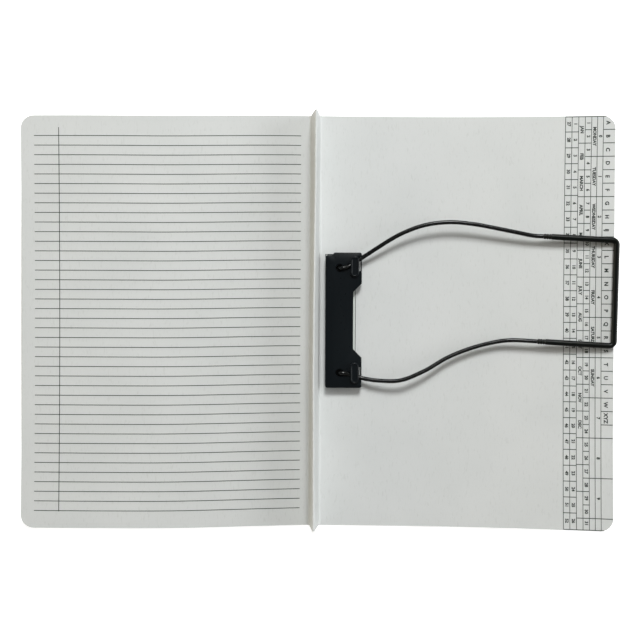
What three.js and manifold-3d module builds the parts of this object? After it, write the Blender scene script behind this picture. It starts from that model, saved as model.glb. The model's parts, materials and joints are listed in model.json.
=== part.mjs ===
// An open card file with a two-hole tube clip, lying flat on its back.
//
// Four stiff card panels are joined by three parallel creases: the front cover, the two
// narrow spine panels that stand up between the covers as a ridge, and the back cover.
// The tube clip is stuck to the back cover beside the ridge. Two flexible tubes start in
// its base plate, come up through the holes of its compressor bar, turn right under two
// cleats and run out over the back cover, where a stiff U-shaped bail joins their ends.
//
// Millimetres. X runs across the open file from the front cover to the back cover, Y runs
// up the page and Z is up. Inside this file X is counted from under the ridge; the
// exported group is then moved so that its origin is at the middle of the object's base.

import * as THREE from 'three';
import { mergeVertices } from 'three/addons/utils/BufferGeometryUtils.js';
import Module from 'manifold-3d';

const wasm = await Module();
wasm.setup();

// Card
const CARD_HEIGHT = 315;
const CARD_THICKNESS = 0.5;
const CORNER_RADIUS = 10;
const CREASE_X = 3.4; // half the distance between the two cover creases
const CREASE_GAP = 0.6; // from a crease line to the edge of the panel beside it
const FRONT_REACH = 224.6; // outer edge of the front cover
const FRONT_CREST = 158; // how far from its crease the front cover stands highest
const FRONT_LIFT = 7.2; // and how high that is
const BACK_REACH = 226; // outer edge of the back cover
const BACK_FLAT_END = 40; // the back cover is flat from its crease to here
const BACK_LIFT = 13; // rise of the back cover's outer edge

// Ridge
const RIDGE_HEIGHT = 25.5;
const RIDGE_GAP = 3.2; // from the ridge's fold line to the edge of each spine panel

// Clip
const HOLE_SPACING = 80; // the two-hole filing standard
const HOLE_X = 19;
const HOLE_RADIUS = 2.85;
const PAD = { left: 8.1, right: 31.5, half: 51.2, bottom: 0.6, top: 1.3 };
const BASE = { left: 9.2, right: 28.6, half: 50.8, bottom: 1.4, top: 3 };
const BAR = { left: 8.3, right: 29.4, near: -51.4, far: 52, bottom: 3.3, top: 7 };
const EAR = { right: 35.9, inner: 28.3 }; // the bar's wide ends
const BAR_NOTCH = { right: 15.1, depth: 2.1 };
const BAR_ROUND = 1.5;
const CLEAT = { x: 30.5, width: 6.6, length: 16, bottom: 7.9, top: 9.1, foot: 6 };
const WINDOW = { left: 33.9, right: 35.1, length: 7.5 }; // beside each cleat

// Tubes
const TUBE_RADIUS = 1.6;
const TUBE_SIDES = 8;
const TUBE_CLEARANCE = 0.3;
const TUBE_BED_Z = 6; // centre line of a tube under its cleat
const SADDLE_END_X = 36.3; // just past the bar's edge, where the tubes start to bend up
const FREE_START_X = 41.2; // the bend needs this much room
const FOOT = { radius: 3.2, bottom: 1.5, rim: 2.1, top: 3.1 };
const RISER = { bottom: 3.2, top: 5 };
const SADDLE_BOTTOM = 5.1;

// Bail
const BAIL_RADIUS = 2.2;
const BAIL_WIDTH = 79.6; // between the legs' centre lines
const BAIL_LEG = 50;
const BAIL_CORNER = 3.5;
const BAIL_SKEW = 1.1; // the upper leg is this much shorter than the middle, the lower one longer
const BAIL_CENTRE = new THREE.Vector3(226.5, 21.5, 16.1); // middle of the cross bar
const BAIL_TURN = THREE.MathUtils.degToRad(-3.2); // about Z
const BAIL_RISE = THREE.MathUtils.degToRad(-3.1); // about its own Y, outer end up
const FERRULE = { root: 1.7, rib: 2.05, length: 6, ribs: 3, gap: 0.3 };
const SPIGOT = { radius: 0.85, length: 7, bore: 1.15, boreDepth: 8 };

const ORIGIN_X = 2.56; // middle of the object, counted from the ridge

const CARD = { color: 0xcfd1cc, roughness: 0.85, metalness: 0 };
const PAD_FOAM = { color: 0xd9d9d2, roughness: 0.95, metalness: 0 };
const BLACK_PLASTIC = { color: 0x15191b, roughness: 0.45, metalness: 0 };
const BLACK_TUBE = { color: 0x101214, roughness: 0.35, metalness: 0 };

function solidOf(geometry) {
  const bare = geometry.clone();
  bare.deleteAttribute('normal');
  bare.deleteAttribute('uv');
  const merged = mergeVertices(bare, 1e-4);
  return new wasm.Manifold(
    new wasm.Mesh({
      numProp: 3,
      vertProperties: new Float32Array(merged.attributes.position.array),
      triVerts: new Uint32Array(merged.index.array),
    }),
  );
}

function geometryOf(solid) {
  const mesh = solid.getMesh();
  const geometry = new THREE.BufferGeometry();
  geometry.setAttribute('position', new THREE.BufferAttribute(mesh.vertProperties, 3));
  geometry.setIndex(new THREE.BufferAttribute(mesh.triVerts, 1));
  geometry.computeVertexNormals();
  return geometry;
}

function cut(geometry, tools) {
  let solid = solidOf(geometry);
  for (const tool of tools) {
    solid = solid.subtract(solidOf(tool));
  }
  return geometryOf(solid);
}

function outline(points) {
  return new THREE.Shape(points.map(([x, y]) => new THREE.Vector2(x, y)));
}

// A flat outline in X and Y, from one height to another.
function prism(shape, bottom, top, curveSegments = 6) {
  const geometry = new THREE.ExtrudeGeometry(shape, {
    depth: top - bottom,
    bevelEnabled: false,
    curveSegments,
  });
  return geometry.translate(0, 0, bottom);
}

function box(left, right, near, far, bottom, top) {
  const geometry = new THREE.BoxGeometry(right - left, far - near, top - bottom);
  return geometry.translate((left + right) / 2, (near + far) / 2, (bottom + top) / 2);
}

function upright(radius, x, y, bottom, top, sides = 20) {
  const geometry = new THREE.CylinderGeometry(radius, radius, top - bottom, sides);
  return geometry.rotateX(Math.PI / 2).translate(x, y, (bottom + top) / 2);
}

// A round bar along a curve.
function sweep(curve, radius, steps, sides = TUBE_SIDES) {
  const circle = new THREE.Shape();
  circle.absarc(0, 0, radius, 0, 2 * Math.PI);
  return new THREE.ExtrudeGeometry(circle, {
    extrudePath: curve,
    steps,
    curveSegments: sides / 2,
    bevelEnabled: false,
  });
}

function route(points) {
  const vectors = points.map((p) => (p.isVector3 ? p : new THREE.Vector3(...p)));
  return new THREE.CatmullRomCurve3(vectors, false, 'centripetal');
}

// A cover: a sheet whose height follows rise(x), with its two outer corners rounded.
function cover(innerX, outerX, rise) {
  const slices = 14;
  const below = [];
  for (let i = 0; i <= slices; i += 1) {
    const x = innerX + ((outerX - innerX) * i) / slices;
    below.push([x, rise(x)]);
  }
  const above = below.map(([x, z]) => [x, z + CARD_THICKNESS]).reverse();
  const sheet = new THREE.ExtrudeGeometry(outline([...below, ...above]), {
    depth: CARD_HEIGHT,
    bevelEnabled: false,
  });
  sheet.rotateX(Math.PI / 2).translate(0, CARD_HEIGHT / 2, 0);

  const side = Math.sign(outerX);
  const half = CARD_HEIGHT / 2;
  const round = outerX - side * CORNER_RADIUS;
  const page = new THREE.Shape();
  page.moveTo(innerX - side, -half - 1);
  page.lineTo(innerX - side, half + 1);
  page.lineTo(round, half + 1);
  page.lineTo(round, half);
  page.quadraticCurveTo(outerX, half, outerX, half - CORNER_RADIUS);
  page.lineTo(outerX, CORNER_RADIUS - half);
  page.quadraticCurveTo(outerX, -half, round, -half);
  page.lineTo(round, -half - 1);
  const trimmed = solidOf(sheet).intersect(solidOf(prism(page, -1, BACK_LIFT + 5)));
  return geometryOf(trimmed);
}

function frontRise(x) {
  const fromCrest = (-CREASE_X - x - FRONT_CREST) / FRONT_CREST;
  return FRONT_LIFT * (1 - fromCrest ** 2);
}

function backRise(x) {
  const along = Math.max(0, (x - BACK_FLAT_END) / (BACK_REACH - BACK_FLAT_END));
  return BACK_LIFT * along ** 2;
}

// A spine panel, drawn upright from its cover's crease to the ridge.
function spinePanel() {
  const length = Math.hypot(CREASE_X, RIDGE_HEIGHT);
  const half = CARD_THICKNESS / 2;
  const top = length - RIDGE_GAP;
  return box(-half, half, -CARD_HEIGHT / 2, CARD_HEIGHT / 2, CREASE_GAP, top);
}

function barOutline() {
  const { left, right, near, far } = BAR;
  const chamfer = EAR.right - right;
  const shoulder = far - BAR_NOTCH.depth;
  const shape = new THREE.Shape();
  shape.moveTo(left + BAR_ROUND, near);
  shape.lineTo(EAR.right - BAR_ROUND, near);
  shape.quadraticCurveTo(EAR.right, near, EAR.right, near + BAR_ROUND);
  shape.lineTo(EAR.right, -EAR.inner);
  shape.lineTo(right, chamfer - EAR.inner);
  shape.lineTo(right, EAR.inner - chamfer);
  shape.lineTo(EAR.right, EAR.inner);
  shape.lineTo(EAR.right, far - BAR_ROUND);
  shape.quadraticCurveTo(EAR.right, far, EAR.right - BAR_ROUND, far);
  shape.lineTo(BAR_NOTCH.right, far);
  shape.lineTo(BAR_NOTCH.right - BAR_NOTCH.depth, shoulder);
  shape.lineTo(left + BAR_ROUND, shoulder);
  shape.quadraticCurveTo(left, shoulder, left, shoulder - BAR_ROUND);
  shape.lineTo(left, near + BAR_ROUND);
  shape.quadraticCurveTo(left, near, left + BAR_ROUND, near);
  return shape;
}

// The route of each tube from the hole in the bar to the bar's edge: up, over and
// down into a channel that leads out under the cleat.
function saddleRoute(holeY, drift, extra = 0) {
  const endY = holeY + (1 + 0.08 * extra) * drift;
  return route([
    [HOLE_X, holeY, SADDLE_BOTTOM],
    [HOLE_X, holeY, 5.8],
    [HOLE_X + 0.3, holeY, 6.6],
    [HOLE_X + 1.5, holeY, 7.7],
    [HOLE_X + 3.3, holeY + 0.03 * drift, 7.9],
    [HOLE_X + 5.6, holeY + 0.1 * drift, 7.2],
    [HOLE_X + 8.6, holeY + 0.3 * drift, 6.2],
    [HOLE_X + 12.2, holeY + 0.61 * drift, TUBE_BED_Z],
    [SADDLE_END_X + extra, endY, TUBE_BED_Z + 0.1],
  ]);
}

// Where each tube's hole, cleat and window are, and how far the tube moves along Y
// between its hole and the bar's edge.
const TUBES = [
  { name: 'upper', holeY: HOLE_SPACING / 2, cleatY: 41.2, windowY: 41.65, drift: 8.2 },
  { name: 'lower', holeY: -HOLE_SPACING / 2, cleatY: -40, windowY: -39.3, drift: -3.9 },
];

function compressorBar() {
  const tools = [];
  for (const { holeY, windowY, drift } of TUBES) {
    const channel = sweep(saddleRoute(holeY, drift, 3), TUBE_RADIUS + TUBE_CLEARANCE, 16);
    tools.push(upright(HOLE_RADIUS, HOLE_X, holeY, BAR.bottom - 1, BAR.top + 1));
    tools.push(channel);
    tools.push(channel.clone().translate(0, 0, 1.2));
    const { left, right, length } = WINDOW;
    const near = windowY - length / 2;
    tools.push(box(left, right, near, near + length, BAR.bottom - 1, BAR.top + 1));
  }
  return cut(prism(barOutline(), BAR.bottom, BAR.top), tools);
}

// A long round-ended plate over the channel, held up by a foot at its inner end.
function cleat(centreY) {
  const { x, width, length, bottom, top, foot } = CLEAT;
  const radius = width / 2;
  const reach = length / 2 - radius;
  const pill = new THREE.Shape();
  pill.absarc(x, centreY + reach, radius, 0, Math.PI);
  pill.absarc(x, centreY - reach, radius, Math.PI, 2 * Math.PI);
  const side = Math.sign(centreY);
  const innerEnd = centreY - (side * length) / 2;
  const footEnds = [innerEnd, innerEnd + side * foot].sort((a, b) => a - b);
  const whole = solidOf(prism(pill, BAR.top + 0.1, top, 8));
  const hollow = box(x - width, x + width, footEnds[1], centreY + length, BAR.top - 1, bottom);
  const mirrored = box(x - width, x + width, centreY - length, footEnds[0], BAR.top - 1, bottom);
  return geometryOf(whole.subtract(solidOf(side > 0 ? hollow : mirrored)));
}

function basePlate() {
  const { left, right, half, bottom, top } = BASE;
  const tools = [];
  for (const { holeY } of TUBES) {
    tools.push(upright(TUBE_RADIUS + TUBE_CLEARANCE, HOLE_X, holeY, bottom - 1, top + 1));
    tools.push(upright(FOOT.radius + TUBE_CLEARANCE, HOLE_X, holeY, bottom - 1, FOOT.rim + 0.2));
  }
  return cut(box(left, right, -half, half, bottom, top), tools);
}

// The flanged end of a tube, trapped under the base plate.
function tubeFoot(holeY) {
  const profile = [
    [0, FOOT.bottom],
    [FOOT.radius, FOOT.bottom],
    [FOOT.radius, FOOT.rim],
    [TUBE_RADIUS, FOOT.rim],
    [TUBE_RADIUS, FOOT.top],
    [0, FOOT.top],
  ].map(([r, z]) => new THREE.Vector2(r, z));
  const geometry = new THREE.LatheGeometry(profile, 16);
  return geometry.rotateX(Math.PI / 2).translate(HOLE_X, holeY, 0);
}

// The bail's own frame: X points out along the legs, the cross bar lies along Y.
const bailFrame = new THREE.Group();
bailFrame.position.copy(BAIL_CENTRE);
bailFrame.rotation.set(0, BAIL_RISE, BAIL_TURN, 'ZYX');
bailFrame.updateMatrix();

function fromBail(x, y) {
  return new THREE.Vector3(x, y, 0).applyMatrix4(bailFrame.matrix);
}

function bail() {
  const half = BAIL_WIDTH / 2;
  const bend = half - BAIL_CORNER;
  const crossX = (y) => (-BAIL_SKEW * y) / half;
  const points = [
    [-BAIL_LEG, half],
    [crossX(half) - BAIL_CORNER, half],
    [crossX(half), half],
    [crossX(bend), bend],
    [crossX(-bend), -bend],
    [crossX(-half), -half],
    [crossX(-half) - BAIL_CORNER, -half],
    [-BAIL_LEG, -half],
  ].map(([x, y]) => new THREE.Vector3(x, y, 0));
  const path = new THREE.CurvePath();
  path.add(new THREE.LineCurve3(points[0], points[1]));
  path.add(new THREE.QuadraticBezierCurve3(points[1], points[2], points[3]));
  path.add(new THREE.LineCurve3(points[3], points[4]));
  path.add(new THREE.QuadraticBezierCurve3(points[4], points[5], points[6]));
  path.add(new THREE.LineCurve3(points[6], points[7]));
  return sweep(path, BAIL_RADIUS, 80);
}

// A ribbed collar on the end of a leg, with a thin spigot that plugs into the tube.
function ferrule(legY) {
  const { root, rib, length, ribs, gap } = FERRULE;
  const profile = [[0, gap]];
  for (let i = 0; i < ribs; i += 1) {
    const pitch = (length - gap) / ribs;
    const start = gap + pitch * i;
    profile.push([rib, start], [rib, start + pitch * 0.6], [root, start + pitch * 0.7]);
    profile.push([root, start + pitch]);
  }
  profile.push([SPIGOT.radius, length], [SPIGOT.radius, length + SPIGOT.length]);
  profile.push([0, length + SPIGOT.length]);
  const curve = profile.map(([r, t]) => new THREE.Vector2(r, t));
  const geometry = new THREE.LatheGeometry(curve, 16);
  return geometry.rotateZ(Math.PI / 2).translate(-BAIL_LEG, legY, 0);
}

// The free stretch of each tube, from the bar's edge to its ferrule. The last
// stretch is straight, on the leg's line, and bored for the spigot.
const FREE_ROUTE = {
  upper: [
    [FREE_START_X, 51.3, 6.8],
    [46.7, 54.9, 7.8],
    [64.9, 65.8, 9.7],
    [83.1, 72.6, 10.9],
    [101.4, 74.9, 11.5],
    [119.6, 73.6, 12],
    [137.9, 70.3, 12.4],
    [150, 67.5, 12.6],
  ],
  lower: [
    [FREE_START_X, -44.8, 6.8],
    [46.7, -45.5, 7.5],
    [64.9, -45.4, 9.5],
    [83.1, -38.2, 10.8],
    [101.4, -27.7, 11.5],
    [119.6, -20.6, 12],
    [137.9, -15.9, 12.4],
    [148, -14.8, 12.6],
  ],
};

function freeTube(name, legY) {
  const end = -BAIL_LEG - FERRULE.length - FERRULE.gap;
  const straight = [end - SPIGOT.boreDepth - 4, end - SPIGOT.boreDepth, end];
  const points = [...FREE_ROUTE[name], ...straight.map((x) => fromBail(x, legY))];
  const tube = sweep(route(points), TUBE_RADIUS, 56);
  const bore = new THREE.CylinderGeometry(SPIGOT.bore, SPIGOT.bore, SPIGOT.boreDepth + 1, 12);
  bore.rotateZ(Math.PI / 2).translate(end - SPIGOT.boreDepth / 2 + 0.5, legY, 0);
  bore.applyMatrix4(bailFrame.matrix);
  return cut(tube, [bore]);
}

function mesh(name, geometry, finish) {
  const piece = new THREE.Mesh(geometry, new THREE.MeshStandardMaterial(finish));
  piece.name = name;
  return piece;
}

const file = new THREE.Group();
file.position.x = -ORIGIN_X;

file.add(mesh('front_cover', cover(-CREASE_X - CREASE_GAP, -FRONT_REACH, frontRise), CARD));
file.add(mesh('back_cover', cover(CREASE_X + CREASE_GAP, BACK_REACH, backRise), CARD));

for (const [name, side] of [['spine_front_panel', -1], ['spine_back_panel', 1]]) {
  const panel = mesh(name, spinePanel(), CARD);
  panel.position.set(side * CREASE_X, 0, CARD_THICKNESS / 2);
  panel.rotation.y = -side * Math.atan2(CREASE_X, RIDGE_HEIGHT);
  file.add(panel);
}

const { left, right, half, bottom, top } = PAD;
file.add(mesh('adhesive_pad', box(left, right, -half, half, bottom, top), PAD_FOAM));
file.add(mesh('base_plate', basePlate(), BLACK_PLASTIC));
file.add(mesh('compressor_bar', compressorBar(), BLACK_PLASTIC));

for (const { name, holeY, cleatY, drift } of TUBES) {
  const side = Math.sign(holeY);
  const riser = upright(TUBE_RADIUS, HOLE_X, holeY, RISER.bottom, RISER.top, TUBE_SIDES);
  file.add(mesh(`tube_cleat_${name}`, cleat(cleatY), BLACK_PLASTIC));
  file.add(mesh(`tube_foot_${name}`, tubeFoot(holeY), BLACK_TUBE));
  file.add(mesh(`tube_riser_${name}`, riser, BLACK_TUBE));
  const saddle = sweep(saddleRoute(holeY, drift), TUBE_RADIUS, 20);
  file.add(mesh(`tube_saddle_${name}`, saddle, BLACK_TUBE));
  file.add(mesh(`tube_free_${name}`, freeTube(name, (side * BAIL_WIDTH) / 2), BLACK_TUBE));
  bailFrame.add(mesh(`bail_ferrule_${name}`, ferrule((side * BAIL_WIDTH) / 2), BLACK_PLASTIC));
}
bailFrame.add(mesh('bail', bail(), BLACK_PLASTIC));
file.add(bailFrame);

export default file;
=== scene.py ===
"""An open card file with a two-hole tube clip, seen from straight above.

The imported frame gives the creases, by its hinges, and the covers and the clip, by their nodes'
boxes. The print and the tubes' routes are counted from under the ridge. Lengths are in metres.
"""

import json
import math

import bmesh
import bpy
from mathutils import Matrix, Vector


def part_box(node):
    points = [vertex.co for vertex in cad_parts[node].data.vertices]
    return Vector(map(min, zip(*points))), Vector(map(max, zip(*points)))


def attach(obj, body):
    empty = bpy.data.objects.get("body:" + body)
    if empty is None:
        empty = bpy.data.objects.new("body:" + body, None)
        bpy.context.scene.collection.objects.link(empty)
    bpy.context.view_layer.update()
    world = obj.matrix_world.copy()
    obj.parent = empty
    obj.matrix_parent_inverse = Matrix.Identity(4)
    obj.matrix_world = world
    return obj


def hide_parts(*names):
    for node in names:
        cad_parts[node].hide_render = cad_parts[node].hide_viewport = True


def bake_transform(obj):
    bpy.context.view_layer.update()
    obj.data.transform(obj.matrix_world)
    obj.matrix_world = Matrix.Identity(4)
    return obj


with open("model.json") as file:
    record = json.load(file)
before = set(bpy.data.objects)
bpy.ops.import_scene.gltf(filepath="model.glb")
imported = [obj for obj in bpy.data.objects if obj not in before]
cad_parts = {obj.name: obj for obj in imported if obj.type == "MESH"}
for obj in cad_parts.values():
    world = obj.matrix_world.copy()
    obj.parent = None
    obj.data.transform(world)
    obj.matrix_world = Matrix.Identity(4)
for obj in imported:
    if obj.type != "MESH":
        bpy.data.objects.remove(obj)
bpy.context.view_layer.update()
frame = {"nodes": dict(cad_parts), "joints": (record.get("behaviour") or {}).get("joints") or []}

MM = 0.001
joints = {j["name"]: j for j in frame["joints"]}

# Card
CARD = 0.5 * MM
CORNER = 10 * MM
FLAT_PAST_PAD = 8.5 * MM  # the back cover is flat this far past the clip's pad
FRONT_CREST = 158 * MM  # how far from its crease the front cover stands highest
FRONT_FOLD = 1.8 * MM  # radius of each fold at rest, along the middle of the card
BACK_FOLD = 2.6 * MM
RIDGE_FOLD = 0.45 * MM
FRONT_SAG = 1.75 * MM  # how far towards the page's foot the front cover's outer side lies
FRONT_SAG_REACH = 125 * MM  # which it has reached this far from the crease
BACK_SAG = 0.0066  # the back cover does so evenly, as a share of the way from its crease
BOW = 1.0 * MM  # how far each cover's outer side stands in halfway along it
FRONT_LEAN = 0.7 * MM  # how far out the front cover's top outer corner leans, and its foot in
BACK_LEAN = 0.25 * MM
BACK_TRIM = 0.9 * MM  # the back cover's edge stands this far past its solid in the frame
STRIP_UP = 6 * MM  # how far a crease strip runs up the spine panel beside it
STRIP_OUT = 7 * MM  # and out along the front cover
STRIP_IN = 3.0 * MM  # and out along the back cover, short of the clip's pad
FRONT_STEPS = 14  # steps of each fold's arc
RIDGE_STEPS = 12
BACK_STEPS = 10
COVER_STEPS = 60
ROWS = 12  # how many parts a cover is cut into along Y
STRIP_ROWS = 24

# Print
INK = 0.02 * MM  # how far the print stands over the card
INK_STEP = 6 * MM  # the longest piece of a line, so that it follows the card's curve
RULE_WIDTH = 0.56 * MM
RULES = 40
RULES_TOP, RULES_BOTTOM = 142 * MM, -144.2 * MM

# Clip
TUBE = 1.6 * MM  # radii
BAIL = 2.2 * MM
TUBE_SIDES = 24
TUBE_STEP = 0.8 * MM
TUBE_STRAIGHT = 6 * MM  # each tube is straight this far from its end
SIDES = {"upper": 1, "lower": -1}

SHARP = math.radians(35)  # edges sharper than this aren't smoothed over


def mm(x, y, z):
    """A point counted from the ridge's foot, in millimetres, as a place in the frame."""
    return Vector((joints["ridge_crease"]["pos_m"][0] + x * MM, y * MM, z * MM))


# ---------------------------------------------------------------- mesh helpers


def new_mesh(name, verts, faces):
    mesh = bpy.data.meshes.new(name)
    mesh.from_pydata([tuple(v) for v in verts], [], faces)
    shaped = bmesh.new()
    shaped.from_mesh(mesh)
    bmesh.ops.recalc_face_normals(shaped, faces=shaped.faces)
    shaped.to_mesh(mesh)
    shaped.free()
    mesh.shade_smooth()
    mesh.set_sharp_from_angle(angle=SHARP)
    piece = bpy.data.objects.new(name, mesh)
    bpy.context.scene.collection.objects.link(piece)
    return piece


def loft(rings):
    """Vertices and faces of a skin over rings of equal length, capped at both ends."""
    count = len(rings[0])
    verts = [v for ring in rings for v in ring]
    faces = []
    for i in range(len(rings) - 1):
        here = i * count
        there = here + count
        for k in range(count):
            after = (k + 1) % count
            faces.append((here + k, here + after, there + after, there + k))
    faces.append(tuple(range(count - 1, -1, -1)))
    faces.append(tuple(range(len(verts) - count, len(verts))))
    return verts, faces


def joined(parts):
    """One list of vertices and one of faces from several."""
    verts, faces = [], []
    for more_verts, more_faces in parts:
        start = len(verts)
        verts += more_verts
        faces += [tuple(start + i for i in face) for face in more_faces]
    return verts, faces


def smooth_route(points, step):
    """Points along a centripetal Catmull-Rom curve through the given ones."""
    ends = [2 * points[0] - points[1], *points, 2 * points[-1] - points[-2]]
    route = []
    for i in range(1, len(ends) - 2):
        p0, p1, p2, p3 = ends[i - 1 : i + 3]
        t0 = 0
        t1 = (p1 - p0).length ** 0.5
        t2 = t1 + (p2 - p1).length ** 0.5
        t3 = t2 + (p3 - p2).length ** 0.5
        count = max(2, round((p2 - p1).length / step))
        for k in range(count):
            t = t1 + (t2 - t1) * k / count
            a1 = p0.lerp(p1, (t - t0) / (t1 - t0))
            a2 = p1.lerp(p2, (t - t1) / (t2 - t1))
            a3 = p2.lerp(p3, (t - t2) / (t3 - t2))
            b1 = a1.lerp(a2, (t - t0) / (t2 - t0))
            b2 = a2.lerp(a3, (t - t1) / (t3 - t1))
            route.append(b1.lerp(b2, (t - t1) / (t2 - t1)))
    route.append(points[-1].copy())
    return route


def rings_along(route, radii, sides):
    """Circles square to a route, turned as little as possible from one to the next."""
    tangents = []
    for i in range(len(route)):
        before = route[max(i - 1, 0)]
        after = route[min(i + 1, len(route) - 1)]
        tangents.append((after - before).normalized())
    side = tangents[0].orthogonal().normalized()
    rings = []
    for i, (point, tangent) in enumerate(zip(route, tangents)):
        if i:
            side = tangents[i - 1].rotation_difference(tangent) @ side
            side = (side - tangent * side.dot(tangent)).normalized()
        up = tangent.cross(side)
        ring = []
        for k in range(sides):
            angle = 2 * math.pi * k / sides
            ring.append(point + (side * math.cos(angle) + up * math.sin(angle)) * radii[i])
        rings.append(ring)
    return rings


def cut(piece, tools):
    """Takes each tool's shape away from a piece and deletes the tool."""
    for tool in tools:
        modifier = piece.modifiers.new("cut", "BOOLEAN")
        modifier.operation = "DIFFERENCE"
        modifier.solver = "EXACT"
        modifier.object = tool
    bpy.context.view_layer.update()
    evaluated = piece.evaluated_get(bpy.context.evaluated_depsgraph_get())
    shape = bpy.data.meshes.new_from_object(evaluated)
    piece.modifiers.clear()
    piece.data = shape
    for tool in tools:
        bpy.data.objects.remove(tool)
    shape.shade_smooth()
    shape.set_sharp_from_angle(angle=SHARP)


def soften(piece, width):
    """Rounds a piece's edges."""
    bevel = piece.modifiers.new("soften", "BEVEL")
    bevel.width = width
    bevel.segments = 2
    bevel.limit_method = "ANGLE"
    bevel.angle_limit = math.radians(40)
    bevel.use_clamp_overlap = True
    bevel.harden_normals = True
    return piece


# ---------------------------------------------------------------- materials


class Finish:
    """A node material: one Principled shader with shortcuts for what feeds it."""

    def __init__(self, name, specular):
        self.material = bpy.data.materials.new(name)
        self.material.use_nodes = True
        self.tree = self.material.node_tree
        self.shader = self.tree.nodes["Principled BSDF"]
        self.shader.inputs["Specular IOR Level"].default_value = specular
        self.place = self.tree.nodes.new("ShaderNodeTexCoord").outputs["Object"]
        self.height = None

    def link(self, source, target):
        self.tree.links.new(source, target)

    def even_roughness(self, value):
        self.shader.inputs["Roughness"].default_value = value

    def noise(self, scale, detail, stretch=(1, 1, 1), distortion=0.0):
        """Noise of that many features a metre."""
        mapping = self.tree.nodes.new("ShaderNodeMapping")
        mapping.inputs["Scale"].default_value = stretch
        self.link(self.place, mapping.inputs["Vector"])
        node = self.tree.nodes.new("ShaderNodeTexNoise")
        node.inputs["Scale"].default_value = scale
        node.inputs["Detail"].default_value = detail
        node.inputs["Distortion"].default_value = distortion
        self.link(mapping.outputs["Vector"], node.inputs["Vector"])
        return node.outputs["Fac"]

    def ramp(self, source, low, high, stops=(0.3, 0.7)):
        """From one colour to another over a stretch of the source."""
        node = self.tree.nodes.new("ShaderNodeValToRGB")
        for element, stop, colour in zip(node.color_ramp.elements, stops, (low, high)):
            element.position = stop
            element.color = (*colour, 1)
        self.link(source, node.inputs["Fac"])
        return node.outputs["Color"]

    def multiply(self, first, second):
        """One colour darkened by another."""
        node = self.tree.nodes.new("ShaderNodeMix")
        node.data_type = "RGBA"
        node.blend_type = "MULTIPLY"
        factor, colour_a, colour_b = node.inputs[0], node.inputs[6], node.inputs[7]
        factor.default_value = 1
        self.link(first, colour_a)
        self.link(second, colour_b)
        return node.outputs[2]

    def colour(self, source):
        self.link(source, self.shader.inputs["Base Color"])

    def rough(self, source, low, high):
        node = self.tree.nodes.new("ShaderNodeMapRange")
        node.inputs["To Min"].default_value = low
        node.inputs["To Max"].default_value = high
        self.link(source, node.inputs["Value"])
        self.link(node.outputs["Result"], self.shader.inputs["Roughness"])

    def bump(self, source, depth, strength):
        """Adds a relief of that depth to the ones added before it."""
        node = self.tree.nodes.new("ShaderNodeBump")
        node.inputs["Distance"].default_value = depth
        node.inputs["Strength"].default_value = strength
        self.link(source, node.inputs["Height"])
        if self.height is not None:
            self.link(self.height, node.inputs["Normal"])
        self.height = node.outputs["Normal"]
        self.link(self.height, self.shader.inputs["Normal"])


def card_material():
    """Pale uncoated board: faint clouds, short fibres and a fine tooth."""
    finish = Finish("card", 0.3)
    clouds = finish.ramp(finish.noise(18, 4), (0.560, 0.575, 0.577), (0.592, 0.604, 0.606))
    fibres = finish.noise(900, 2, stretch=(1, 0.25, 1), distortion=0.6)
    specks = finish.ramp(fibres, (0.93, 0.93, 0.925), (1, 1, 1), stops=(0.28, 0.42))
    finish.colour(finish.multiply(clouds, specks))
    finish.rough(finish.noise(240, 2), 0.76, 0.9)
    finish.bump(finish.noise(1500, 3), 0.02 * MM, 0.5)
    finish.bump(fibres, 0.02 * MM, 0.35)
    return finish.material


def ink_material(name, dark, light):
    """Printed ink with the small breaks that board gives it."""
    finish = Finish(name, 0.3)
    finish.even_roughness(0.6)
    finish.colour(finish.ramp(finish.noise(2600, 2), dark, light, stops=(0.35, 0.75)))
    finish.bump(finish.noise(1500, 2), 0.01 * MM, 0.3)
    return finish.material


def foam_material():
    """Pale foam tape, darkened on every face that doesn't face up: partly its dark cut edge, partly
    painted shade for the shadow along its edge.
    """
    finish = Finish("pad_foam", 0.2)
    finish.even_roughness(0.9)
    cells = finish.noise(3200, 3)
    foam_colour = finish.ramp(cells, (0.5, 0.53, 0.51), (0.62, 0.655, 0.63))
    facing = finish.tree.nodes.new("ShaderNodeSeparateXYZ")
    geometry = finish.tree.nodes.new("ShaderNodeNewGeometry")
    finish.link(geometry.outputs["True Normal"], facing.inputs["Vector"])
    # painted shade: faces that don't face up are made nearly black, for the shadow and the dark cut
    # edge along the pad's sides
    painted_side_shade = finish.ramp(facing.outputs["Z"], (0.05, 0.06, 0.055), (1, 1, 1), stops=(0.8, 0.9))
    finish.colour(finish.multiply(foam_colour, painted_side_shade))
    finish.bump(cells, 0.06 * MM, 0.8)
    return finish.material


def moulded_material(name, dark, light, rough, grain):
    """Moulded plastic: an even sheen broken by a fine grain and faint flow marks."""
    finish = Finish(name, 0.17)
    flow = finish.noise(60, 3, stretch=(1, 0.3, 1), distortion=0.8)
    finish.colour(finish.ramp(flow, dark, light))
    finish.rough(finish.noise(420, 2), *rough)
    finish.bump(finish.noise(grain, 2), 0.008 * MM, 0.5)
    return finish.material


def tube_material():
    """Extruded flexible plastic: semi-gloss, with a fine grain and a little dust."""
    finish = Finish("tube_plastic", 0.3)
    dust = finish.noise(700, 3)
    finish.colour(finish.ramp(dust, (0.0012, 0.0018, 0.002), (0.003, 0.0038, 0.0042)))
    finish.rough(finish.noise(300, 2), 0.2, 0.32)
    finish.bump(finish.noise(1100, 2), 0.008 * MM, 0.35)
    return finish.material


def floor_material():
    """A white floor that glows, so that next to no shadow shows on it."""
    finish = Finish("floor", 0.1)
    finish.even_roughness(0.9)
    finish.colour(finish.ramp(finish.noise(3, 2), (0.68, 0.68, 0.68), (0.7, 0.7, 0.7)))
    finish.shader.inputs["Emission Color"].default_value = (1, 1, 1, 1)
    finish.shader.inputs["Emission Strength"].default_value = 0.75
    return finish.material


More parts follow.
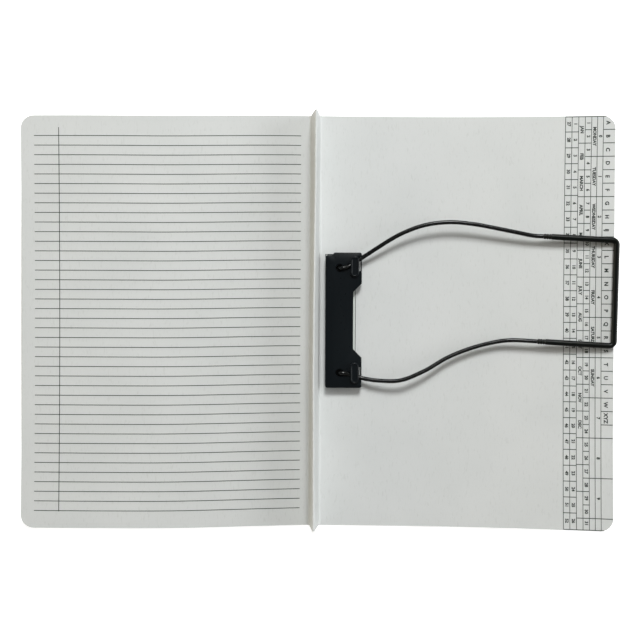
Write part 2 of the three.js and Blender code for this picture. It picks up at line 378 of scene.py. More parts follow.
def wear(piece, material):
    """Gives a piece its material."""
    piece.data.materials.clear()
    piece.data.materials.append(material)
    return piece


card = card_material()
ink_dark = ink_material("ink_dark", (0.02, 0.032, 0.026), (0.045, 0.062, 0.052))
ink_line = ink_material("ink_line", (0.022, 0.037, 0.028), (0.044, 0.063, 0.052))
foam = foam_material()
black = moulded_material(
    "clip_plastic", (0.0028, 0.0046, 0.0062), (0.004, 0.006, 0.0076), rough=(0.25, 0.33), grain=1700
)
bail_black = moulded_material(
    "bail_plastic", (0.002, 0.003, 0.0026), (0.0035, 0.0046, 0.004), rough=(0.26, 0.34), grain=1500
)
tube_black = tube_material()


# ---------------------------------------------------------------- card


def crease(name):
    """A hinge's place seen along Y, as (x, z)."""
    x, _, z = joints[name]["pos_m"]
    return Vector((x, z))


front_low, front_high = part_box("front_cover")
_, back_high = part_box("back_cover")
pad_low, pad_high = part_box("adhesive_pad")
half_height = back_high.y
back_edge = back_high.x + BACK_TRIM
front_crease = crease("front_cover_crease")
ridge = crease("ridge_crease")
back_crease = crease("back_cover_crease")
flat_end = pad_high.x + FLAT_PAST_PAD


def front_rise(x):
    """Height of the front cover's underside: it springs up from its crease and levels off."""
    from_crest = (front_crease.x - x - FRONT_CREST) / FRONT_CREST
    return (front_high.z - CARD) * (1 - from_crest**2)


def back_rise(x):
    """Height of the back cover's underside: flat under the clip, then curling up."""
    along = max(0, (x - flat_end) / (back_high.x - flat_end))
    return (back_high.z - CARD) * along**2


def fillet(corner, before, after, radius, steps):
    """An arc of that radius that joins the lines from before to corner to after."""
    back = (before - corner).normalized()
    on = (after - corner).normalized()
    half = back.angle(on) / 2
    centre = corner + (back + on).normalized() * (radius / math.sin(half))
    start = corner + back * (radius / math.tan(half)) - centre
    end = corner + on * (radius / math.tan(half)) - centre
    turn = math.atan2(start.x * end.y - start.y * end.x, start.dot(end))
    arc = []
    for k in range(steps + 1):
        angle = turn * k / steps
        c, s = math.cos(angle), math.sin(angle)
        arc.append(centre + Vector((start.x * c - start.y * s, start.x * s + start.y * c)))
    return arc


def between(first, last, count):
    """That many places spaced evenly between two, without the two."""
    return [first.lerp(last, (k + 1) / (count + 1)) for k in range(count)]


def card_profile():
    """The file's middle line, seen along Y, with where each piece starts and each fold turns."""
    middle = CARD / 2
    slope = 2 * (front_high.z - CARD) / FRONT_CREST
    out = Vector((-1, slope)).normalized()
    up = (ridge - front_crease).normalized()
    down = (back_crease - ridge).normalized()
    points, marks, arcs = [], {}, {}

    def add_arc(name, arc):
        arcs[name] = (len(points), len(points) + len(arc) - 1)
        points.extend(arc)

    # The points of both covers lie closer together at the outer edge, where the corners are round.
    strip_x = front_crease.x + out.x * STRIP_OUT
    marks["front_cover"] = 0
    for k in range(COVER_STEPS):
        share = 1 - math.cos(0.5 * math.pi * k / COVER_STEPS)
        x = front_low.x + (strip_x - front_low.x) * share
        points.append(Vector((x, front_rise(x) + middle)))

    marks["front_fold"] = len(points)
    first = front_crease + out * STRIP_OUT
    first.y = front_rise(first.x) + middle
    fold = fillet(front_crease, front_crease + out, ridge, FRONT_FOLD, FRONT_STEPS)
    points.extend([first, *between(first, fold[0], 5)])
    add_arc("front_fold", fold)
    low, high = front_crease + up * (STRIP_UP + MM), ridge - up * STRIP_UP
    points.extend(between(fold[-1], low, 3))

    marks["spine_front"] = len(points)
    points.extend([low, *between(low, high, 5)])

    marks["ridge_fold"] = len(points)
    fold = fillet(ridge, front_crease, back_crease, RIDGE_FOLD, RIDGE_STEPS)
    points.extend([high, *between(high, fold[0], 4)])
    add_arc("ridge_fold", fold)
    high, low = ridge + down * STRIP_UP, back_crease - down * STRIP_UP
    points.extend(between(fold[-1], high, 4))

    marks["spine_back"] = len(points)
    points.extend([high, *between(high, low, 5)])

    marks["back_fold"] = len(points)
    level = back_crease + Vector((STRIP_IN, 0))
    fold = fillet(back_crease, ridge, level, BACK_FOLD, BACK_STEPS)
    points.extend([low, *between(low, fold[0], 4)])
    add_arc("back_fold", fold)
    points.extend(between(fold[-1], level, 2))

    marks["back_cover"] = len(points)
    points.append(level)
    for k in range(1, COVER_STEPS + 1):
        share = math.sin(0.5 * math.pi * k / COVER_STEPS)
        x = level.x + (back_edge - level.x) * share
        points.append(Vector((x, back_rise(x) + middle)))
    marks["end"] = len(points) - 1
    return points, marks, arcs


profile, marks, arcs = card_profile()

# How far the ridge's crest strays along X at each place along Y, in millimetres
CREST_DRIFT = [
    (-157.5, -0.3),
    (-107, -0.5),
    (-40, -0.8),
    (0, -0.7),
    (50, -0.2),
    (104, 0.4),
    (157.5, 0.7),
]


def ease(t):
    """A smooth step from 0 to 1."""
    return t * t * (3 - 2 * t)


def crest_drift(y, height):
    """The stray of a place in the ridge at that height over its creases."""
    share = min(1, max(0, height / (ridge.y - back_crease.y)))
    y = min(max(y / MM, CREST_DRIFT[0][0]), CREST_DRIFT[-1][0])
    spans = zip(CREST_DRIFT, CREST_DRIFT[1:])
    (y0, x0), (y1, x1) = next(span for span in spans if y <= span[1][0])
    return (x0 + (x1 - x0) * ease((y - y0) / (y1 - y0))) * share * MM


def across(i):
    """The unit normal of the profile at a point, on its inside face's side."""
    before = profile[max(i - 1, 0)]
    after = profile[min(i + 1, len(profile) - 1)]
    along = (after - before).normalized()
    return Vector((-along.y, along.x))


def half_length(x):
    """Half the card's size along Y at that X, less at the round outer corners."""
    inside = min(x - front_low.x, back_edge - x)
    if inside >= CORNER:
        return half_height
    return half_height - CORNER + math.sqrt(max(0, CORNER**2 - (CORNER - inside) ** 2))


def settle(piece, body):
    """Lets a cover, or its print, lie a little askew: its outer side sags, leans and bows."""
    for vertex in piece.data.vertices:
        along = vertex.co.y / half_height
        bow = BOW * (1 - along**2)
        if body == "front":
            share = ease(min(1, max(0, (front_crease.x - vertex.co.x) / FRONT_SAG_REACH)))
            vertex.co.y -= FRONT_SAG * share
            vertex.co.x += (bow - FRONT_LEAN * along) * share
        else:
            out = max(0, vertex.co.x - back_crease.x)
            vertex.co.y -= BACK_SAG * out
            vertex.co.x -= (bow - BACK_LEAN * along) * out / (back_edge - back_crease.x)
    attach(piece, body)


def stray(piece):
    """Moves a piece of the ridge as its crest strays."""
    for vertex in piece.data.vertices:
        vertex.co.x += crest_drift(vertex.co.y, vertex.co.z - back_crease.y)


def card_piece(name, first, last, rows):
    """A closed sheet along the profile, from one mark to the next."""
    rings = []
    for i in range(marks[first], marks[last] + 1):
        middle, normal = profile[i], across(i)
        reach = half_length(middle.x)
        inside, outside = middle + normal * CARD / 2, middle - normal * CARD / 2
        levels = [reach * (2 * k / rows - 1) for k in range(rows + 1)]
        ring = [Vector((inside.x, y, inside.y)) for y in levels]
        ring += [Vector((outside.x, y, outside.y)) for y in levels[::-1]]
        rings.append(ring)
    piece = new_mesh(name, *loft(rings))
    return wear(piece, card)


def spine_panel(body, last):
    panel = card_piece(f"card_{body}", body, last, STRIP_ROWS)
    stray(panel)
    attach(panel, body)
    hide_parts(f"{body}_panel")


def fold_strip(name, last):
    """The card over a crease, bent evenly round its fold. It strays after its place is baked."""
    strip = card_piece(name, name, last, STRIP_ROWS)
    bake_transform(strip)
    stray(strip)


def card_sheets():
    front = card_piece("card_front_cover", "front_cover", "front_fold", ROWS)
    settle(front, "front")
    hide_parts("front_cover")
    spine_panel("spine_front", "ridge_fold")
    spine_panel("spine_back", "back_fold")
    back = card_piece("card_back_cover", "back_cover", "end", ROWS)
    settle(back, "back")
    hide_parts("back_cover")

    fold_strip("front_fold", "spine_front")
    fold_strip("ridge_fold", "spine_back")
    fold_strip("back_fold", "back_cover")


card_sheets()


# ---------------------------------------------------------------- print


def stroke(rise, start, end, width):
    """A thin closed ribbon of ink on a cover, from one place in plan to another."""
    along = end - start
    side = Vector((-along.y, along.x)).normalized() * width / 2
    count = math.ceil(along.length / INK_STEP)
    rings = []
    for k in range(count + 1):
        p = start + along * k / count
        low = rise(p.x) + CARD
        a, b = p - side, p + side
        corners = ((a.x, a.y, low), (b.x, b.y, low), (b.x, b.y, low + INK), (a.x, a.y, low + INK))
        rings.append([Vector(corner) for corner in corners])
    return loft(rings)


def front_rules():
    """The ruled page inside the front cover: lines across it, and a margin."""
    left, margin, right = [mm(x, 0, 0).x for x in (-214.4, -195.4, -11)]
    margin_top = RULES_TOP + 6.3 * MM
    lines = []
    for k in range(RULES):
        y = RULES_TOP + (RULES_BOTTOM - RULES_TOP) * k / (RULES - 1)
        lines.append(stroke(front_rise, Vector((left, y)), Vector((right, y)), RULE_WIDTH))
    high, low = Vector((margin, margin_top)), Vector((margin, RULES_BOTTOM - RULE_WIDTH))
    lines.append(stroke(front_rise, high, low, RULE_WIDTH))
    page = new_mesh("print_front_rules", *joined(lines))
    wear(page, ink_line)
    settle(page, "front")


# How far each column line of the index stands in from the back cover's outer edge. Its
# columns are two of weeks, months, days, weekdays, digits and letters.
COLUMNS = [d * MM for d in (36.6, 31.8, 26.9, 22.1, 17.4, 13.1, 8.8, 0)]
DAY_CELL = 10.17 * MM
DAY_START = 10.5 * MM  # the first line across, from the card's top edge
WEEK_CELL = 12.07 * MM
GRID_INSET = 0.6 * MM  # from the card's top and bottom edges
GRID_WIDTH = 0.6 * MM
GRID_CLEAR = 0.2 * MM  # from its outer edge
NUMBER_SIZE = 3.3 * MM
WORD_SIZE = 3.25 * MM
LETTER_SIZE = 4.0 * MM
LETTERS_IN = 1.1 * MM  # the letters stand this far in from the middle of their column
BOLD = 0.15 * MM
DAYS = 31
WEEKS = 26  # in each of the two columns of weeks
MONTH_NAMES = "JAN FEB MARCH APRIL MAY JUNE JULY AUG SEPT OCT NOV DEC".split()
WEEKDAY_NAMES = "MONDAY TUESDAY WEDNESDAY THURSDAY FRIDAY SATURDAY SUNDAY".split()
LETTERS = "A B C D E F G H IJ K L M N O P Q R S T U V W XYZ".split()


def day_line(cell):
    """How far down the card the line under that many day cells is."""
    return min(DAY_START + (cell - 1) * DAY_CELL, 2 * half_height - GRID_INSET)


def week_line(cell):
    """The same for that many week cells."""
    return min(cell * WEEK_CELL, 2 * half_height - GRID_INSET)


def corner_reach(y):
    """How far in from the outer edge a line across has to end at that Y."""
    past = abs(y) - (half_height - CORNER)
    if past <= 0:
        return GRID_CLEAR
    return CORNER - math.sqrt(max(0, CORNER**2 - past**2)) + GRID_CLEAR


def index_grid():
    """The index along the back cover's outer edge: seven columns of cells."""
    top, bottom = half_height - GRID_INSET, GRID_INSET - half_height
    lines = []

    def along(column):
        x = back_edge - COLUMNS[column]
        lines.append(stroke(back_rise, Vector((x, top)), Vector((x, bottom)), GRID_WIDTH))

    def over(column, down):
        y = half_height - down
        left = back_edge - COLUMNS[column]
        right = min(back_edge - COLUMNS[column + 1], back_edge - corner_reach(y))
        lines.append(stroke(back_rise, Vector((left, y)), Vector((right, y)), GRID_WIDTH))

    for column in range(len(COLUMNS) - 1):
        along(column)
        over(column, GRID_INSET)
        over(column, 2 * half_height - GRID_INSET)
    for cell in range(1, WEEKS):
        over(0, week_line(cell))
        over(1, week_line(cell))
    for cell in range(2, DAYS, 2):
        over(2, day_line(cell))
    for cell in range(1, DAYS):
        over(3, day_line(cell))
    for cell in range(3, DAYS, 3):
        over(4, day_line(cell))
        over(5, day_line(cell))
    # a cell for each letter, then taller blank ones
    for cell in (*range(1, len(LETTERS) + 2), 27, 30):
        over(6, day_line(cell))
    grid = new_mesh("print_back_grid", *joined(lines))
    wear(grid, ink_line)
    settle(grid, "back")


def label(words, size, centre):
    """Flat letters that read down the card, as vertices and faces."""
    curve = bpy.data.curves.new("label", "FONT")
    curve.body = words
    curve.size = size
    curve.align_x = "CENTER"
    curve.align_y = "CENTER"
    curve.resolution_u = 3
    curve.offset = BOLD
    curve.extrude = INK / 2
    text = bpy.data.objects.new("label", curve)
    bpy.context.scene.collection.objects.link(text)
    bpy.context.view_layer.update()
    evaluated = text.evaluated_get(bpy.context.evaluated_depsgraph_get())
    shape = bpy.data.meshes.new_from_object(evaluated)
    bpy.data.objects.remove(text)
    verts = []
    for v in shape.vertices:
        x, y = centre.x + v.co.y, centre.y - v.co.x
        verts.append(Vector((x, y, back_rise(x) + CARD + INK / 2 + v.co.z)))
    faces = [tuple(p.vertices) for p in shape.polygons]
    bpy.data.meshes.remove(shape)
    return verts, faces


def index_text():
    """The index's words, numbers and letters, each in its cell."""
    labels = []

    def put(words, column, down, size, aside=0.0):
        x = back_edge - (COLUMNS[column] + COLUMNS[column + 1]) / 2 - aside
        labels.append(label(words, size, Vector((x, half_height - down))))

    for week in range(1, WEEKS + 1):
        middle = (week_line(week) + week_line(week - 1)) / 2
        put(str(week + WEEKS), 0, middle, NUMBER_SIZE)
        put(str(week), 1, middle, NUMBER_SIZE)
    for k, name in enumerate(MONTH_NAMES):
        put(name, 2, day_line(2 * k + 1), WORD_SIZE)
    for day in range(1, DAYS + 1):
        put(str(day), 3, day_line(day) - DAY_CELL / 2, NUMBER_SIZE)
    for k, name in enumerate(WEEKDAY_NAMES):
        put(name, 4, day_line(3 * k + 2) - DAY_CELL / 2, WORD_SIZE)
    for digit in range(10):
        put(str(digit), 5, day_line(3 * digit + 2) - DAY_CELL / 2, NUMBER_SIZE)
    for k, letters in enumerate(LETTERS):
        put(letters, 6, day_line(k + 1) - DAY_CELL / 2, LETTER_SIZE, aside=LETTERS_IN)
    text = new_mesh("print_back_index", *joined(labels))
    merged = bmesh.new()
    merged.from_mesh(text.data)
    bmesh.ops.remove_doubles(merged, verts=merged.verts, dist=0.002 * MM)
    merged.to_mesh(text.data)
    merged.free()
    wear(text, ink_dark)
    settle(text, "back")


front_rules()
index_grid()
index_text()


# ---------------------------------------------------------------- clip

bar_low, bar_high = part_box("compressor_bar")
base_low, base_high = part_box("base_plate")
BAR_RIGHT = mm(29.4, 0, 0).x  # the bar's narrow middle ends here, and its wide ends at its box
EAR_INNER = 28.3 * MM  # where the wide ends start, along Y
EAR_ROUND = 0.8 * MM
NOTCH_RIGHT = mm(15.1, 0, 0).x  # the notch in the bar's far left corner
NOTCH = 2.1 * MM
NOTCH_ROUND = 0.4 * MM
WINDOW_LEFT, WINDOW_RIGHT = mm(33.9, 0, 0).x, mm(35.1, 0, 0).x
WINDOW_Y = {"upper": 41.65 * MM, "lower": -39.3 * MM}
WINDOW_LENGTH = 7.5 * MM
ROUND = 1.5 * MM  # the other corners of the bar, the base plate and the pad
HOLE = 2.85 * MM  # radius of the bar's holes
CHANNEL = TUBE + 0.3 * MM
CHANNEL_RISE = 1.2 * MM  # each channel is opened upwards by this much


def centre_of(node):
    low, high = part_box(node)
    return (low + high) / 2


def rounded_outline(corners, steps=5):
    """A closed outline from (x, y, radius) corners, with arcs where the radius isn't 0."""
    outline = []
    for i, (x, y, radius) in enumerate(corners):
        corner = Vector((x, y))
        if not radius:
            outline.append(corner)
            continue
        before = Vector(corners[i - 1][:2])
        after = Vector(corners[(i + 1) % len(corners)][:2])
        outline += fillet(corner, before, after, radius, steps)
    return outline


def bar_outline():
    """The bar in plan: wide ends, a narrow middle and a notch in one corner."""
    left, right, near, far = bar_low.x, bar_high.x, bar_low.y, bar_high.y
    chamfer = right - BAR_RIGHT
    return rounded_outline(
        [
            (left, near, ROUND),
            (right, near, ROUND),
            (right, -EAR_INNER, EAR_ROUND),
            (BAR_RIGHT, chamfer - EAR_INNER, EAR_ROUND),
            (BAR_RIGHT, EAR_INNER - chamfer, EAR_ROUND),
            (right, EAR_INNER, EAR_ROUND),
            (right, far, ROUND),
            (NOTCH_RIGHT, far, NOTCH_ROUND),
            (NOTCH_RIGHT - NOTCH, far - NOTCH, NOTCH_ROUND),
            (left, far - NOTCH, ROUND),
        ]
    )


def inset(outline, distance):
    """The outline moved inwards, for an outline that runs anticlockwise."""
    moved = []
    for i, p in enumerate(outline):
        before = (p - outline[i - 1]).normalized()
        after = (outline[(i + 1) % len(outline)] - p).normalized()
        normal = Vector((-before.y - after.y, before.x + after.x))
        normal = normal / max(normal.length, 1e-9)
        cosine = max(0.4, normal.dot(Vector((-before.y, before.x))))
        moved.append(p + normal * (distance / cosine))
    return moved


def stacked(outline, levels):
    """A solid from copies of an outline, each at (inset, height)."""
    rings = []
    for distance, z in levels:
        rings.append([Vector((p.x, p.y, z)) for p in inset(outline, distance)])
    return loft(rings)


def tool(shape):
    """A solid that cut() takes away from a piece."""
    return new_mesh("tool", *shape)


def circle_outline(x, y, radius, sides=48):
    turn = 2 * math.pi / sides
    return [
        Vector((x + radius * math.cos(turn * k), y + radius * math.sin(turn * k)))
        for k in range(sides)
    ]


def box_outline(left, right, near, far):
    return [Vector(p) for p in ((left, near), (right, near), (right, far), (left, far))]


# The route of each tube from its hole over the bar and out under the cleat, in
# millimetres: how far along X from the hole, what share of its drift along Y, and its height.
SADDLE = [
    (0, 0, 5.1),
    (0, 0, 5.8),
    (0.3, 0, 6.6),
    (1.5, 0, 7.7),
    (3.3, 0.03, 7.9),
    (5.6, 0.1, 7.2),
    (8.6, 0.3, 6.2),
    (12.2, 0.61, 6.0),
    (17.3, 1, 6.1),
]
HOLE_X, HOLE_Y = 19, 40  # each hole's place in millimetres
DRIFT = {"upper": 8.2, "lower": -3.9}

# The places that each tube then runs through to its ferrule, as mm() takes them
FREE = {
    "upper": [
        (41.2, 51.3, 6.8),
        (46.7, 54.9, 7.8),
        (64.9, 65.8, 9.7),
        (83.1, 72.6, 10.9),
        (101.4, 74.9, 11.5),
        (119.6, 73.6, 12),
        (137.9, 70.3, 12.4),
        (150, 67.9, 12.6),
    ],
    "lower": [
        (41.2, -44.8, 6.8),
        (46.7, -45.5, 7.5),
        (64.9, -45.4, 9.3),
        (83.1, -38.3, 9.5),
        (101.4, -27.8, 8.4),
        (119.6, -20.5, 8.5),
        (137.9, -15.7, 9.9),
        (148, -14.4, 11.2),
    ],
}


def saddle_points(name):
    hole_y = SIDES[name] * HOLE_Y
    return [mm(HOLE_X + x, hole_y + share * DRIFT[name], z) for x, share, z in SADDLE]


def channel_tool(name, lift):
    """A fat copy of the tube's route, which opens its channel in the bar."""
    points = saddle_points(name)
    points.append(points[-1] + (points[-1] - points[-2]).normalized() * 4 * MM)
    points = [p + Vector((0, 0, lift)) for p in points]
    route = smooth_route(points, 0.5 * MM)
    return tool(loft(rings_along(route, [CHANNEL] * len(route), 32)))


def bar():
    """The compressor bar: a soft-edged plate with two holes, channels and windows."""
    low, high = bar_low.z, bar_high.z
    foot_edge, edge, flare = 0.15 * MM, 0.35 * MM, 0.4 * MM
    levels = [(foot_edge, low), (0, low + foot_edge), (0, high - edge)]
    levels += [(0.1 * MM, high - 0.1 * MM), (edge, high)]
    piece = new_mesh("clip_compressor_bar", *stacked(bar_outline(), levels))
    tools = []
    for name in SIDES:
        hole = centre_of(f"tube_foot_{name}")
        rim = circle_outline(hole.x, hole.y, HOLE)
        levels = [(0, low - MM), (0, high - flare), (-flare, high), (-flare, high + MM)]
        tools.append(tool(stacked(rim, levels)))
        near = WINDOW_Y[name] - WINDOW_LENGTH / 2
        window = box_outline(WINDOW_LEFT, WINDOW_RIGHT, near, near + WINDOW_LENGTH)
        tools.append(tool(stacked(window, [(0, low - MM), (0, high + MM)])))
        tools.append(channel_tool(name, 0))
        tools.append(channel_tool(name, CHANNEL_RISE))
    cut(piece, tools)
    wear(piece, black)
    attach(piece, "compressor")
    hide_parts("compressor_bar")


def pill_outline(centre, width, length, steps=16):
    """A closed outline with two straight sides along Y and round ends."""
    radius, reach = width / 2, (length - width) / 2
    outline = []
    for end in (1, -1):
        for k in range(steps + 1):
            angle = math.pi * k / steps + (0 if end > 0 else math.pi)
            x = centre.x + radius * math.cos(angle)
            outline.append(Vector((x, centre.y + end * reach + radius * math.sin(angle))))
    return outline


def cleat(name):
    """A pill with a bevelled rim round a sunk face, open below where the tube passes."""
    node = f"tube_cleat_{name}"
    low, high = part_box(node)
    width, length = high.x - low.x, high.y - low.y
    outline = pill_outline((low + high) / 2, width, length)
    # how far in from its outline and how far down from its top each level is
    top = [(0, 0.7), (0.5, 0.12), (0.7, 0), (0.9, 0), (1.1, 0.1), (1.5, 0.5)]
    levels = [(0, low.z - 0.15 * MM)]
    levels += [(distance * MM, high.z - down * MM) for distance, down in top]
    piece = new_mesh(f"clip_cleat_{name}", *stacked(outline, levels))
    side = SIDES[name]
    foot_length, past = 6 * MM, 20 * MM
    foot = (low.y if side > 0 else high.y) + side * foot_length
    near, far = sorted((foot, foot + side * past))
    room = box_outline(low.x - MM, high.x + MM, near, far)
    cut(piece, [tool(stacked(room, [(0, low.z - MM), (0, low.z + 0.8 * MM)]))])
    wear(soften(piece, 0.08 * MM), black)
    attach(piece, "compressor")
    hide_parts(node)


BAIL_MIDDLE = mm(226.5, 21.5, 16.1)
BAIL_HALF = 39.8 * MM  # from the middle of the cross bar to each leg
BAIL_LEG = 50 * MM
BAIL_CORNER = 3.5 * MM
BAIL_SKEW = 1.1 * MM  # the upper leg is this much shorter than the middle, the lower one longer
FERRULE = 6 * MM
FERRULE_GAP = 0.3 * MM  # between the leg and the ferrule's first rib, and between ferrule and tube
SOCKET = 1.15 * MM  # radius of the bore in the tube's end
SOCKET_STEPS = 7  # how far the bore goes in, in steps of the tube's route


def bail_frame():
    """X out along the bail's legs, Y along its cross bar, from the cross bar's middle."""
    out = Vector(joints["bail_pull"]["axis"]).normalized()
    across_legs = Vector((-out.y, out.x, 0)).normalized()
    up = out.cross(across_legs)
    turn = Matrix((out, across_legs, up)).transposed().to_4x4()
    return Matrix.Translation(BAIL_MIDDLE) @ turn


bail_place = bail_frame()


def from_bail(x, y):
    """A place in the plane of the bail."""
    return bail_place @ Vector((x, y, 0))


def tube(name):
    """One tube from its hole to its ferrule, bored at that end. It bends where it leaves the bar."""
    leg_y = SIDES[name] * BAIL_HALF
    end = -BAIL_LEG - FERRULE - FERRULE_GAP
    points = saddle_points(name)
    points += [mm(*p) for p in FREE[name]]
    points += [from_bail(end - back, leg_y) for back in (TUBE_STRAIGHT, 0)]
    route = smooth_route(points, TUBE_STEP)
    rings = rings_along(route, [TUBE] * len(route), TUBE_SIDES)
    onward = route[-1] - route[-2]
    for place in (route[-1], route[-1 - SOCKET_STEPS]):
        rings += rings_along([place, place + onward], [SOCKET] * 2, TUBE_SIDES)[:1]
    piece = new_mesh(f"tube_{name}", *loft(rings))
    wear(piece, tube_black)
    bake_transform(piece)
    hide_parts(f"tube_saddle_{name}", f"tube_free_{name}")


def riser(name):
    """The short stretch below the bar's top, drawn at rest; on the real clip it stretches as the bar
    is lifted.
    """
    node = f"tube_riser_{name}"
    x, y, _ = centre_of(node)
    low, high = base_high.z - MM, mm(*SADDLE[0]).z
    count = 14
    route = [Vector((x, y, low + (high - low) * k / count)) for k in range(count + 1)]
    rings = rings_along(route, [TUBE] * len(route), TUBE_SIDES)
    piece = new_mesh(f"tube_stem_{name}", *loft(rings))
    wear(piece, tube_black)
    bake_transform(piece)
    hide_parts(node)


def bail():
    """The stiff U: two legs, a cross bar and small round corners, with softened ends."""
    half, corner, steps = BAIL_HALF, BAIL_CORNER, 12
    path = [Vector((-BAIL_LEG, half))]
    for side in (1, -1):
        centre = Vector((-corner - side * BAIL_SKEW, side * (half - corner)))
        for k in range(steps + 1):
            angle = math.pi / 2 * (1 - k / steps if side > 0 else -k / steps)
            path.append(centre + corner * Vector((math.cos(angle), math.sin(angle))))
    path.append(Vector((-BAIL_LEG, -half)))
    route = []
    for first, last in zip(path, path[1:]):
        count = max(1, round((last - first).length / (2 * MM)))
        route += [first.lerp(last, k / count) for k in range(count)]
    route.append(path[-1])
    soft = 0.3 * MM
    along = (route[1] - route[0]).normalized() * soft
    route.insert(1, route[0] + along)
    route.insert(-1, route[-1] + along)
    places = [from_bail(p.x, p.y) for p in route]
    radii = [BAIL] * len(places)
    radii[0] = radii[-1] = BAIL - soft
    piece = new_mesh("bail_rod", *loft(rings_along(places, radii, 28)))
    wear(piece, bail_black)
    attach(piece, "loop_end")
    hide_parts("bail")


def ferrule(name):
    """A ribbed collar on the leg's end, with the spigot that plugs into the tube."""
    leg_y = SIDES[name] * BAIL_HALF
    root, rib, spigot, tip = 1.7 * MM, 2.05 * MM, 0.85 * MM, 0.5 * MM
    ribs, spigot_length, tip_length = 3, 6.7 * MM, 0.3 * MM
    pitch = (FERRULE - FERRULE_GAP) / ribs
    turns = ((0, root), (0.15, rib), (0.55, rib), (0.75, root), (0.98, root))
    steps = [(0, root)]
    for k in range(ribs):
        start = FERRULE_GAP + pitch * k
        steps += [(start + share * pitch, radius) for share, radius in turns]
    steps += [(FERRULE, spigot), (FERRULE + spigot_length, spigot)]
    steps += [(FERRULE + spigot_length + tip_length, tip)]
    route = [from_bail(-BAIL_LEG - along, leg_y) for along, _ in steps]
    rings = rings_along(route, [radius for _, radius in steps], TUBE_SIDES)
    piece = new_mesh(f"ferrule_{name}", *loft(rings))
    wear(piece, bail_black)
    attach(piece, "loop_end")
    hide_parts(f"bail_ferrule_{name}")


def plate_outline(low, high, far_round):
    """A box's outline in plan, with round near corners and its far ones as given."""
    near = [(low.x, low.y, ROUND), (high.x, low.y, ROUND)]
    far = [(high.x, high.y, far_round), (low.x, high.y, far_round)]
    return rounded_outline(near + far)


def base():
    """The base plate: a soft-edged plate with the two tubes' holes and their seats in it."""
    low, high = base_low, base_high
    outline = plate_outline(low, high, ROUND)
    edge, seat_round, over_seat = 0.2 * MM, 3.5 * MM, 0.7 * MM
    levels = [(edge, low.z), (0, low.z + edge), (0, high.z - edge), (edge, high.z)]
    piece = new_mesh("clip_base_plate", *stacked(outline, levels))
    tools = []
    for name in SIDES:
        middle = centre_of(f"tube_foot_{name}")
        rim = circle_outline(middle.x, middle.y, CHANNEL)
        seat = circle_outline(middle.x, middle.y, seat_round)
        tools.append(tool(stacked(rim, [(0, low.z - MM), (0, high.z + MM)])))
        tools.append(tool(stacked(seat, [(0, low.z - MM), (0, high.z - over_seat)])))
    cut(piece, tools)
    wear(piece, black)
    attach(piece, "back")
    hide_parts("base_plate")


def pad():
    """The foam tape that holds the clip to the cover."""
    rim = 0.45 * MM
    levels = [(0, pad_low.z), (0, pad_high.z - rim), (rim, pad_high.z)]
    outline = plate_outline(pad_low, pad_high, 0)
    piece = new_mesh("clip_adhesive_pad", *stacked(outline, levels))
    wear(piece, foam)
    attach(piece, "back")
    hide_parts("adhesive_pad")


pad()
base()
bar()
for side_name in SIDES:
    cleat(side_name)
    riser(side_name)
    tube(side_name)
    ferrule(side_name)
    wear(frame["nodes"][f"tube_foot_{side_name}"], tube_black)
bail()


# ---------------------------------------------------------------- room


CAMERA_HEIGHT = 0.7
CAMERA_SPAN = 0.4934  # how much of the table it sees from side to side
CAMERA_TURN = math.radians(0.25)
FLOOR_SIDE = 12
FLOOR_DROP = 0.3 * MM  # below the file, so that the two never share a plane


def camera():
    """Straight down over the file, a hair off its middle."""
    data = bpy.data.cameras.new("camera")
    data.sensor_width = 36
    data.lens = data.sensor_width * CAMERA_HEIGHT / CAMERA_SPAN
    data.clip_start, data.clip_end = 0.01, 10
    eye = bpy.data.objects.new("camera", data)
    eye.location = mm(4.1, 0.35, 0) + Vector((0, 0, CAMERA_HEIGHT))
    eye.rotation_euler = (0, 0, CAMERA_TURN)
    bpy.context.scene.collection.objects.link(eye)
    bpy.context.scene.camera = eye


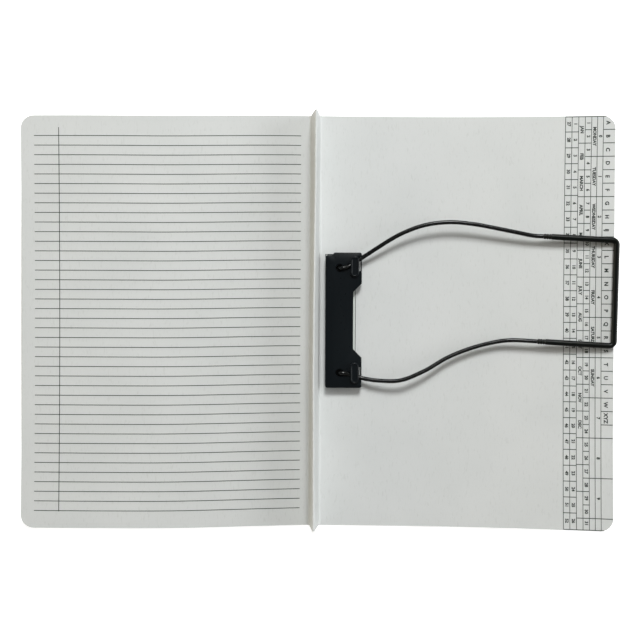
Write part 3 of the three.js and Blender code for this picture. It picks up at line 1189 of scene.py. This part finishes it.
def floor():
    half = FLOOR_SIDE / 2
    corners = [(-half, -half, 0), (half, -half, 0), (half, half, 0), (-half, half, 0)]
    mesh = bpy.data.meshes.new("floor")
    mesh.from_pydata(corners, [], [(0, 1, 2, 3)])
    piece = bpy.data.objects.new("floor", mesh)
    piece.location.z = -FLOOR_DROP
    bpy.context.scene.collection.objects.link(piece)
    mesh.materials.append(floor_material())


def area_light(name, place, size, power, tint):
    """A rectangular lamp that faces the middle of the table."""
    data = bpy.data.lights.new(name, "AREA")
    data.shape = "RECTANGLE"
    data.size, data.size_y = size
    data.energy = power
    data.color = tint
    lamp = bpy.data.objects.new(name, data)
    lamp.location = place
    lamp.rotation_euler = (-Vector(place)).to_track_quat("-Z", "Y").to_euler()
    bpy.context.scene.collection.objects.link(lamp)


def sky():
    """A dim warm room: brighter at the walls than overhead."""
    world = bpy.data.worlds.new("studio")
    world.use_nodes = True
    tree = world.node_tree
    place = tree.nodes.new("ShaderNodeTexCoord").outputs["Generated"]
    split = tree.nodes.new("ShaderNodeSeparateXYZ")
    tree.links.new(place, split.inputs["Vector"])
    ramp = tree.nodes.new("ShaderNodeValToRGB")
    tree.links.new(split.outputs["Z"], ramp.inputs["Fac"])
    ramp.color_ramp.elements[0].color = (0.24, 0.225, 0.2, 1)
    ramp.color_ramp.elements[1].color = (0.2, 0.19, 0.175, 1)
    tree.links.new(ramp.outputs["Color"], tree.nodes["Background"].inputs["Color"])
    bpy.context.scene.world = world


def studio():
    """A bright window high behind the page, the dimmer wall round it, and a fill each side."""
    sky()
    area_light("window", (0.3, 2.1, 2.1), size=(0.8, 0.75), power=78, tint=(0.985, 1, 0.985))
    area_light("window_wall", (0.1, 1.8, 2.4), size=(1.6, 1.6), power=11, tint=(0.985, 1, 0.98))
    area_light("right_fill", (2.6, 0.3, 1.0), size=(1.6, 1.2), power=37, tint=(0.97, 1, 1))
    area_light("left_fill", (-2.5, 0.2, 0.4), size=(1.6, 0.7), power=17, tint=(1, 0.89, 0.64))
    bpy.context.scene.view_settings.view_transform = "Standard"


camera()
floor()
studio()
